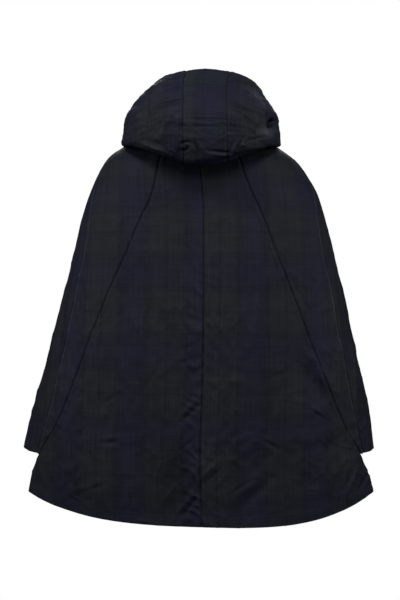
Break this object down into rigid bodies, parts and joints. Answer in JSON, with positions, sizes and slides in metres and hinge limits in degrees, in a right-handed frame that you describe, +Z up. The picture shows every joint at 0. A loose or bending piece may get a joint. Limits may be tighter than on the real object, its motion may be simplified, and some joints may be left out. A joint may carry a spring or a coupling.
{
  "type": "hooded cape",
  "caption": "Hooded rain cape in thin dark checked cloth, filled out as worn, with slanted back seams, a longer rounded tail and its hood pushed back.",
  "frame": {"origin": "middle of the neck opening, where the wearer's neck and shoulders hold the cape", "axes": "+Z up, +Y the way the wearer faces, +X the wearer's right; the back with the long tail faces -Y"},
  "size_m": [0.6972, 0.3917, 0.8786],
  "materials": {
    "cloth_navy": "dark navy and green check, crisp, slight sheen",
    "cloth_green": "dark green and navy check, crisp, slight sheen"
  },
  "bodies": {
    "root": {"back_right": "cloth_navy", "back_left": "cloth_navy", "raglan_back_right": "cloth_green", "raglan_back_left": "cloth_green", "raglan_front_right": "cloth_navy", "raglan_front_left": "cloth_navy", "front_right": "cloth_green", "front_left": "cloth_green", "front_placket": "cloth_navy", "hood_strip": "cloth_green", "hood_side_right": "cloth_navy", "hood_side_left": "cloth_navy"}
  },
  "joints": []
}
